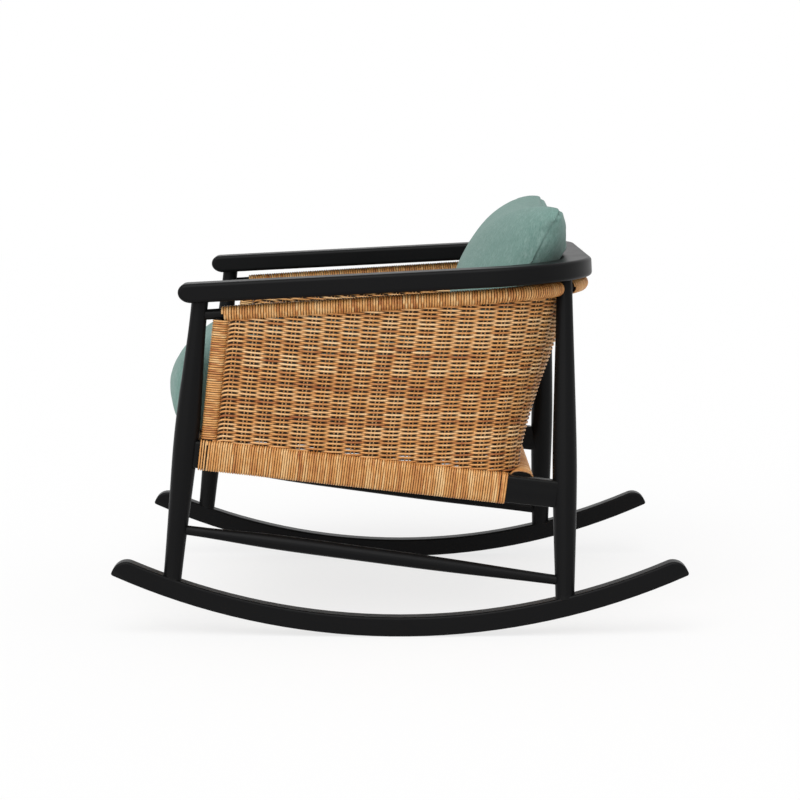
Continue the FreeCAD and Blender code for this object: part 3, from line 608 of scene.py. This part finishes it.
def half_plan(level):
    """The left half of the shell's middle line at a level, from the post to the chair's middle, in plan."""
    inset = shell_thickness / 2

    def mix(low, high):
        return low * (1 - level) + high * level

    side_length = shell_low_back - shell_low_bow - shell_low_corner - seat_front_y
    side_x = side_middle - side_length * math.tan(seat_toe_in)
    hollow = hollow_at(level)
    corner = mix(shell_low_corner, rim_corner)
    low_y = shell_low_back - shell_low_bow
    high_y = rim_back - shell_back_in - shell_high_bow
    side = mix(side_x, rim_half) + shell_side_out
    back = mix(low_y, high_y)
    cut = 1 - math.sqrt(0.5)
    slant = inset * math.sqrt(0.5)
    front = (side_middle + shell_side_out - inset,
             shell_front + (rim_axis(post_foot.y) - post_foot.z) * level * math.tan(leg_lean))
    start = (side - inset, mix(low_y - shell_low_corner, rim_back - rim_corner))
    turn = (side - corner * cut - slant, back - corner * cut + hollow / 2 - slant)
    end = (side - corner, back + hollow - inset)
    middle = (0.0, mix(shell_low_back, high_y + shell_high_bow) + hollow - inset)
    bow = through(end, middle, (-end[0], end[1]), 60)[:30]
    plan = [front]
    plan += [(front[0] + (start[0] - front[0]) * i / 40, front[1] + (start[1] - front[1]) * i / 40)
             for i in range(1, 41)]
    plan += through(start, turn, end, 40)
    plan += bow
    return plan


class ShellSurface:
    """The shell as a net of points: places round it, each with points from the seat rails to the rim."""

    levels = 21
    spacing = 0.0042

    def __init__(self, look):
        rows = [half_plan(i / (self.levels - 1)) for i in range(self.levels)]
        rows = [row + [(-x, y) for x, y in reversed(row[:-1])] for row in rows]
        self.count = int(self.length_of(rows[self.levels // 2]) / self.spacing)
        self.net = [self.even(row, i / (self.levels - 1)) for i, row in enumerate(rows)]
        middle = self.net[self.levels // 2]
        self.run = [0.0]
        for first, second in zip(middle, middle[1:]):
            self.run.append(self.run[-1] + (second - first).length)
        self.index = []
        for place in range(self.count + 1):
            column = [self.row_number(self.net[i][place], place, look) for i in range(self.levels)]
            self.index.append(column)

    @staticmethod
    def length_of(row):
        return sum(math.hypot(b[0] - a[0], b[1] - a[1]) for a, b in zip(row, row[1:]))

    def even(self, row, level):
        """A level's points again, evenly spaced, with their heights."""
        step = self.length_of(row) / self.count
        points = []
        run = 0.0
        at = 0
        for i in range(self.count + 1):
            goal = i * step
            while at < len(row) - 2:
                part = math.hypot(row[at + 1][0] - row[at][0], row[at + 1][1] - row[at][1])
                if run + part >= goal:
                    break
                run += part
                at += 1
            part = math.hypot(row[at + 1][0] - row[at][0], row[at + 1][1] - row[at][1])
            share = min(1.0, (goal - run) / part)
            x = row[at][0] + (row[at + 1][0] - row[at][0]) * share
            y = row[at][1] + (row[at + 1][1] - row[at][1]) * share
            points.append(Vector((x, y, seat_top(y) * (1 - level) + rim_axis(y) * level)))
        return points

    def row_number(self, point, place, look):
        """Which row passes through a point; rows sink from the posts towards the corners."""
        share = min(1.0, max(0.0, (point.y + 0.28) / 0.56))
        row = look.row_front + (look.row_rear - look.row_front) * share
        sink = 0.11 / 0.704 * max(0.0, 0.081 - point.y) ** 2
        from_post = min(self.run[place], self.run[-1] - self.run[place])
        sink -= 0.005 * max(0.0, 1 - from_post / 0.014) ** 2
        return (point.z - sink - 0.40) / row

    def at(self, place, number):
        """The surface at a row, with its outward direction, or nothing where the row has ended."""
        column = self.index[place]
        if number < column[0] - rows_below or number > column[-1]:
            return None
        i = max(1, bisect_left(column, number))
        share = (number - column[i - 1]) / (column[i] - column[i - 1])
        return self.between(place, i - 1 + share)

    def between(self, place, height):
        """The surface at a place round it and a height in levels, with its outward direction."""
        i = max(0, min(self.levels - 2, math.floor(height)))
        share = height - i
        low = self.net[i]
        high = self.net[i + 1]
        before = max(0, place - 1)
        after = min(self.count, place + 1)
        point = low[place].lerp(high[place], share)
        along = low[after].lerp(high[after], share) - low[before].lerp(high[before], share)
        up = high[place] - low[place]
        return point, along.cross(up).normalized(), along.normalized()


def oval_ring(centre, out, along, half_out, half_up, count, turn=0.0):
    up = along.cross(out)
    angles = [2 * math.pi * (i + turn) / count for i in range(count)]
    return [centre + out * (half_out * math.cos(a)) + up * (half_up * math.sin(a)) for a in angles]


def swing_at(run, number, look):
    """How a row stands at a place round the shell: 1 before a pair of stakes, -1 behind it."""
    wave = math.cos(math.pi * (run - look.first_pair) / look.pair_spacing)
    wave *= 1.45 - 0.45 * wave * wave
    return wave if number % 2 else -wave


reed_sides = 6


def reed_painted_shades(swing):
    """How open each side of a strand lies, as painted shade: dark above and below where rows touch, and where
    it passes behind stakes.
    """
    shades = []
    for i in range(reed_sides):
        angle = 2 * math.pi * (i + 0.5) / reed_sides
        buried = max(0.0, min(1.0, (-swing if math.cos(angle) > 0 else swing) * 2.2 - 0.5))
        open_share = 1.0 - 0.55 * abs(math.sin(angle)) ** 3
        shades.append(open_share * (1 - 0.97 * buried))
    return shades


def weave_rows(surface, look):
    """All rows of reed, gathered in a few heaps from the seat rails up to the rim."""
    lowest = math.ceil(min(column[0] for column in surface.index) - rows_below)
    highest = math.floor(max(column[-1] for column in surface.index))
    bands = 5
    heaps = [Heap() for _ in range(bands)]
    chance = random.Random(7)
    tone = 0.5
    for number in range(lowest, highest + 1):
        heap = heaps[min(bands - 1, (number - lowest) * bands // (highest - lowest + 1))]
        tone = 0.5 + chance.uniform(-0.24, 0.24)
        drift = chance.uniform(0.0, 40.0)
        uneven = chance.uniform(-0.25, 0.25)
        rings = []
        tones = []
        shades = []
        for place in range(surface.count + 1):
            jitter = noise.noise(Vector((surface.run[place] * 14.0, number * 3.7, drift))) * 0.16
            found = surface.at(place, number + jitter)
            if found:
                point, out, along = found
                fat = 1 + 0.1 * noise.noise(Vector((surface.run[place] * 40.0, number * 1.3, 2.0)))
                swing = swing_at(surface.run[place], number, look)
                centre = point + out * (swing * look.swing)
                rings.append(oval_ring(centre, out, along, look.strand_depth / 2 * fat,
                                       look.strand_height / 2 * fat, reed_sides, 0.5))
                shades.append(reed_painted_shades(swing))
                shade = noise.noise(Vector((surface.run[place] * 9.0, number * 2.1, drift))) * 0.35
                tones.append(tone + shade + uneven * 0.2)
            if rings and (not found or place == surface.count):
                if len(rings) > 2:
                    heap.tube(rings, tones, shades)
                rings = []
                tones = []
                shades = []
    return heaps


def weave_stakes(surface, look):
    heap = Heap()
    chance = random.Random(11)
    run = look.first_pair
    while run < surface.run[-1]:
        for side in (-0.5, 0.5):
            goal = run + side * look.stake_gap
            if goal < 0.003 or goal > surface.run[-1] - 0.003:
                continue
            place = min(range(surface.count + 1), key=lambda i: abs(surface.run[i] - goal))
            rings = []
            for i in range(2 * surface.levels - 1):
                point, out, along = surface.between(place, min(i / 2, surface.levels - 1.001))
                point = point + along * (goal - surface.run[place])
                up = out.cross(along)
                rings.append(oval_ring(point, out, up, look.stake / 2, look.stake / 2, 6))
            # Painted shade: the stakes are darkened a little all round, as they stand among the rows
            heap.tube(rings, [chance.uniform(0.45, 0.8)] * len(rings), [[0.85] * 6] * len(rings))
        run += look.pair_spacing
    return heap


# Cushions
def node_copy(node, name):
    """A piece that starts as a copy of a node's solid."""
    piece = bpy.data.objects.new(name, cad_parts[node].data.copy())
    piece.data.materials.clear()
    bpy.context.scene.collection.objects.link(piece)
    return piece


def settle_modifiers(piece):
    """Works a piece's modifiers into its mesh and takes them off."""
    graph = bpy.context.evaluated_depsgraph_get()
    graph.update()
    mesh = bpy.data.meshes.new_from_object(piece.evaluated_get(graph))
    piece.modifiers.clear()
    piece.data = mesh


def neighbours_tree(names):
    """One search tree over the nodes that a cushion must stay clear of."""
    points = []
    faces = []
    for name in names:
        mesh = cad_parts[name].data
        first = len(points)
        points.extend(vertex.co.copy() for vertex in mesh.vertices)
        faces.extend([first + i for i in face.vertices] for face in mesh.polygons)
    return BVHTree.FromPolygons(points, faces)


clearance = 0.0006


def pillow_rear(spot):
    """The move that makes the pillow's rear as full as its front."""
    behind = max(0.0, (pillow_foot - spot).dot(pillow_ahead))
    return pillow_ahead * -(behind * bpy.context.scene.chair_cushions.rear_growth)


def filled(piece, swell, neighbours, pressure, shape=None):
    """Fills a cushion like a bag: an even skin, blown up a little, held clear of what it touches."""
    look = bpy.context.scene.chair_cushions
    skin = piece.modifiers.new("Even skin", "REMESH")
    skin.mode = "VOXEL"
    skin.voxel_size = look.voxel
    settle_modifiers(piece)
    mesh = piece.data
    tree = neighbours_tree(neighbours)
    if shape:
        for vertex in mesh.vertices:
            move = shape(vertex.co)
            _, _, _, free = tree.find_nearest(vertex.co)
            if move.length > 0:
                vertex.co += move * min(1.0, max(0.0, free - clearance) / move.length)
    room = []
    for vertex in mesh.vertices:
        _, _, _, distance = tree.find_nearest(vertex.co)
        room.append(distance)
    for vertex, out in zip(mesh.vertices, [v.normal.copy() for v in mesh.vertices]):
        vertex.co -= out * look.start_in
    start = [vertex.co.copy() for vertex in mesh.vertices]
    cloth = piece.modifiers.new("Filling", "CLOTH")
    cloth.settings.quality = 5
    cloth.settings.mass = 0.3
    cloth.settings.tension_stiffness = 15.0
    cloth.settings.compression_stiffness = 15.0
    cloth.settings.bending_stiffness = 0.5
    cloth.settings.use_pressure = True
    cloth.settings.uniform_pressure_force = pressure
    cloth.settings.effector_weights.gravity = 0.0
    cloth.collision_settings.use_collision = False
    cloth.point_cache.frame_start = 1
    cloth.point_cache.frame_end = look.steps
    for step in range(1, look.steps + 1):
        bpy.context.scene.frame_set(step)
    settle_modifiers(piece)
    bpy.context.scene.frame_set(1)
    for vertex, before, free in zip(piece.data.vertices, start, room):
        move = vertex.co - before
        limit = min(swell, max(0.0, look.start_in + free - clearance))
        if move.length > limit:
            vertex.co = before + move * (limit / move.length)
    smooth = piece.modifiers.new("Even", "SMOOTH")
    smooth.factor = 0.5
    smooth.iterations = 2
    finer = piece.modifiers.new("Finer", "SUBSURF")
    finer.levels = 1
    settle_modifiers(piece)
    piece.data.shade_smooth()
    return piece


def sewn(piece, spot, normal, depth, width):
    """Draws the cloth in along the seam where a plane meets the skin, with soft puckers beside it."""
    mesh = piece.data
    outward = [vertex.normal.copy() for vertex in mesh.vertices]
    for vertex, out in zip(mesh.vertices, outward):
        off = (vertex.co - spot).dot(normal)
        if abs(off) < 8 * width and abs(out.dot(normal)) < 0.75:
            groove = depth * math.exp(-(off / width) ** 2)
            flat = vertex.co - normal * off
            pucker = noise.noise(flat * 34.0 + normal * (off * 60.0)) * math.exp(-(off / (4 * width)) ** 2)
            vertex.co -= out * (groove + pucker * depth * 0.5)
    return piece


class CHAIR_OT_paint_timber(bpy.types.Operator):
    """Paints the rockers, legs, stretchers and rails black"""
    bl_idname = "chair.paint_timber"
    bl_label = "Paint the timber"

    def execute(self, context):
        paint = black_paint()
        for name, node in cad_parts.items():
            if name.startswith(("rocker", "front_leg", "rear_leg", "side_stretcher", "arm_rail", "upper_rail",
                                "panel_post", "seat_rail")):
                node.data.materials.clear()
                node.data.materials.append(paint)
        return {"FINISHED"}


class CHAIR_OT_finish_inside(bpy.types.Operator):
    """Finishes the dowels, cleats, screws and webbing under the cushion"""
    bl_idname = "chair.finish_inside"
    bl_label = "Finish the inside"

    def execute(self, context):
        finishes = {"rail_dowels": bare_beech(), "cleat_screws": plated_steel(), "webbing": jute_webbing()}
        finishes["cleat_"] = finishes["rail_dowels"]
        for name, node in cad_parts.items():
            for start, material in finishes.items():
                if name.startswith(start):
                    node.data.materials.clear()
                    node.data.materials.append(material)
                    break
        return {"FINISHED"}


class CHAIR_OT_bind_rim(bpy.types.Operator):
    """Winds cane round the three lengths of the upper rail"""
    bl_idname = "chair.bind_rim"
    bl_label = "Bind the upper rail"

    def execute(self, context):
        look = context.scene.chair_binding
        material = cane("rim_cane", look, 0.36, 0.5)
        section = round_section(rim_radius, 16)
        stop = rim_to_leg - leg_room
        for side, place, seed in (("left", on_rim, 1), ("right", flipped(on_rim), 2)):
            heap = Heap()
            wind(heap, place, section, 0.0, stop, look.rim_pitch, seed, taper=0.0022)
            settle(heap.piece("rim_binding_" + side, material), "frame", "rattan", "upper_wrap_" + side)
        heap = Heap()
        start = rim_to_leg + leg_room
        wind(heap, on_rim, section, start, rim_whole - start, look.rim_pitch, 3, taper=0.0022)
        settle(heap.piece("rim_binding_back", material), "frame", "rattan", "upper_wrap_back")
        return {"FINISHED"}


class CHAIR_OT_bind_posts(bpy.types.Operator):
    """Winds cane round the two posts behind the front legs"""
    bl_idname = "chair.bind_posts"
    bl_label = "Bind the posts"

    def execute(self, context):
        look = context.scene.chair_binding
        material = cane("post_cane", look, 0.38, 0.45)
        section = square_section(0.020, 2 * post_half, 0.006)
        for side, place, seed in (("left", on_post, 4), ("right", flipped(on_post), 5)):
            heap = Heap()
            wind(heap, place, section, 0.0190, 0.2170, look.post_pitch, seed)
            settle(heap.piece("post_binding_" + side, material), "frame", "rattan", "post_wrap_" + side)
        return {"FINISHED"}


class CHAIR_OT_bind_seat_rails(bpy.types.Operator):
    """Winds cane round the four seat rails, with three loose turns beside each front leg"""
    bl_idname = "chair.bind_seat_rails"
    bl_label = "Bind the seat rails"

    def execute(self, context):
        look = context.scene.chair_binding
        material = cane("rail_cane", look, 0.4, 0.45)
        section = square_section(0.031, 0.050, 0.007)
        for side, place, seed in (("left", on_side_rail, 6), ("right", flipped(on_side_rail), 7)):
            heap = Heap()
            wind(heap, place, section, 0.0325, 0.525, look.rail_pitch, seed, waver=0.3, taper=0.0012)
            for i, middle in enumerate(loose_turns):
                loose_ring(heap, place, section, middle, 0.0031, 0.5 + 0.1 * i, 0.0002)
            settle(heap.piece("side_rail_binding_" + side, material), "frame", "rattan", "rail_wrap_" + side)
        heap = Heap()
        wind(heap, on_cross_rail(0.0, 0.0), section, -0.3185, 0.3185, look.rail_pitch, 8)
        settle(heap.piece("front_rail_binding", material), "frame", "rattan", "rail_wrap_front")
        heap = Heap()
        wind(heap, on_cross_rail(0.5475, 0.004), square_section(0.042, 0.050, 0.014), -0.3065, 0.3065,
             look.rail_pitch, 9)
        settle(heap.piece("rear_rail_binding", material), "frame", "rattan", "rail_wrap_rear")
        return {"FINISHED"}


class CHAIR_OT_weave_shell(bpy.types.Operator):
    """Weaves the shell: pairs of stakes, and rows of reed that pass before one pair and behind the next"""
    bl_idname = "chair.weave_shell"
    bl_label = "Weave the shell"

    def execute(self, context):
        look = context.scene.chair_weave
        surface = ShellSurface(look)
        material = cane("woven_reed", look, 0.45, 0.6)
        for i, heap in enumerate(weave_rows(surface, look)):
            piece = heap.piece("shell_rows_%d" % (i + 1), material)
            settle(piece, "frame", "rattan", *(["woven_shell"] if i == 0 else []))
        settle(weave_stakes(surface, look).piece("shell_stakes", material), "frame", "rattan")
        return {"FINISHED"}


class CHAIR_OT_fill_seat_cushion(bpy.types.Operator):
    """Sews and fills the seat cushion"""
    bl_idname = "chair.fill_seat_cushion"
    bl_label = "Fill the seat cushion"

    def execute(self, context):
        look = context.scene.chair_cushions
        cloth = slub_cloth("seat_cloth_slub")
        piece = node_copy("seat_cushion", "seat_cushion_filled")
        beside = ("front_leg_left", "front_leg_right", "woven_shell", "webbing_along", "rail_wrap_front",
                  "rail_wrap_left", "rail_wrap_right", "back_cushion", "post_wrap_left", "post_wrap_right")
        filled(piece, look.seat_swell, beside, 4.0)
        sewn(piece, on_seat(0.0, 0.0, seam_height), seat_up, 0.0022, seam_width)
        piece.data.materials.append(cloth)
        settle(piece, "seat_pad", "seat_cloth", "seat_cushion")
        return {"FINISHED"}


class CHAIR_OT_fill_back_cushion(bpy.types.Operator):
    """Sews and fills the back cushion"""
    bl_idname = "chair.fill_back_cushion"
    bl_label = "Fill the back cushion"

    def execute(self, context):
        look = context.scene.chair_cushions
        cloth = slub_cloth("back_cloth_slub")
        piece = node_copy("back_cushion", "back_cushion_filled")
        beside = ("arm_rail", "woven_shell", "upper_wrap_back", "seat_cushion", "upper_wrap_left",
                  "upper_wrap_right")
        filled(piece, look.back_swell, beside, 3.0, pillow_rear)
        sewn(piece, pillow_foot, pillow_ahead, 0.0024, seam_width)
        piece.data.materials.append(cloth)
        settle(piece, "back_pad", "back_cloth", "back_cushion")
        return {"FINISHED"}


class CHAIR_OT_set_stage(bpy.types.Operator):
    """Lays the floor and sets the lamps, the sky and the camera"""
    bl_idname = "chair.set_stage"
    bl_label = "Set the stage"

    def execute(self, context):
        look = context.scene.chair_stage
        scene = context.scene
        self.lay_floor(look)
        self.light_sky(look)
        lamps = (("key", look.key, 50, (34, 14, 60)), ("fill", look.fill, 70, (70, 0, 62)))
        for name, strength, spread, turn in lamps:
            lamp = bpy.data.lights.new(name, "SUN")
            lamp.energy = strength
            lamp.angle = math.radians(spread)
            holder = bpy.data.objects.new(name, lamp)
            holder.rotation_euler = [math.radians(value) for value in turn]
            scene.collection.objects.link(holder)
        camera = bpy.data.objects.new("camera", bpy.data.cameras.new("camera"))
        camera.data.lens = look.lens
        camera.data.sensor_width = 36.0
        camera.location = (look.distance, 0.0, look.height)
        camera.rotation_euler = (look.pitch, 0.0, math.radians(90))
        scene.collection.objects.link(camera)
        scene.camera = camera
        scene.view_settings.view_transform = "Standard"
        return {"FINISHED"}

    def lay_floor(self, look):
        heap = Heap()
        half = 9.0
        corners = ((-half, -half), (half, -half), (half, half), (-half, half))
        heap.points = [Vector((x, y, 0.0)) for x, y in corners]
        heap.faces = [(0, 1, 2, 3)]
        heap.tones = [0.5] * 4
        heap.shades = [1.0] * 4
        finish = Finish(bpy.data.materials.new("pale_floor"))
        plain = finish.add("ShaderNodeBsdfDiffuse", sockets={"Color": (0.9, 0.9, 0.9, 1.0)})
        white = finish.add("ShaderNodeEmission", sockets={"Color": (1.0, 1.0, 1.0, 1.0), "Strength": 1.0})
        share = self.seen_straight(finish) * look.white
        shader = finish.add("ShaderNodeMixShader", sockets={0: share, 1: plain, 2: white})
        finish.add("ShaderNodeOutputMaterial", sockets={"Surface": shader})
        heap.piece("floor", finish.owner)

    def light_sky(self, look):
        world = bpy.data.worlds.new("sky")
        bpy.context.scene.world = world
        finish = Finish(world)
        straight = self.seen_straight(finish)
        strength = look.sky + straight * (1.0 - look.sky)
        sky = finish.add("ShaderNodeBackground", sockets={
            "Color": (1.0, 1.0, 1.0, 1.0), "Strength": strength})
        finish.add("ShaderNodeOutputWorld", sockets={"Surface": sky})

    def seen_straight(self, finish):
        """1 for rays that show the background as it is: from the camera, off gloss or through glass."""
        rays = [finish.add("ShaderNodeLightPath", output=i) for i in (0, 3, 6)]
        return finish.add("ShaderNodeMath", {"operation": "ADD", "use_clamp": True}, {
            0: rays[0], 1: rays[1] + rays[2]})


class CHAIR_PT_panel(bpy.types.Panel):
    """Lists the chair's pieces and their settings"""
    bl_label = "Rocking chair"
    bl_idname = "CHAIR_PT_panel"
    bl_space_type = "VIEW_3D"
    bl_region_type = "UI"
    bl_category = "Rocking chair"

    def draw(self, context):
        for operator in operators:
            self.layout.operator(operator.bl_idname)
        for name, group in settings.items():
            box = self.layout.box()
            box.label(text=group.__doc__)
            for key in group.__annotations__:
                box.prop(getattr(context.scene, name), key)


settings = {
    "chair_binding": BindingSettings,
    "chair_weave": WeaveSettings,
    "chair_timber": TimberSettings,
    "chair_cushions": CushionSettings,
    "chair_stage": StageSettings,
}
operators = (
    CHAIR_OT_set_stage,
    CHAIR_OT_paint_timber,
    CHAIR_OT_finish_inside,
    CHAIR_OT_bind_rim,
    CHAIR_OT_bind_posts,
    CHAIR_OT_bind_seat_rails,
    CHAIR_OT_weave_shell,
    CHAIR_OT_fill_seat_cushion,
    CHAIR_OT_fill_back_cushion,
)
classes = (*settings.values(), *operators, CHAIR_PT_panel)


def register():
    for cls in classes:
        bpy.utils.register_class(cls)
    for name, group in settings.items():
        setattr(bpy.types.Scene, name, PointerProperty(type=group))


def unregister():
    for name in settings:
        delattr(bpy.types.Scene, name)
    for cls in reversed(classes):
        bpy.utils.unregister_class(cls)


def main():
    register()
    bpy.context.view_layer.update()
    for operator in operators:
        group, name = operator.bl_idname.split(".")
        getattr(getattr(bpy.ops, group), name)()


if __name__ == "__main__":
    main()
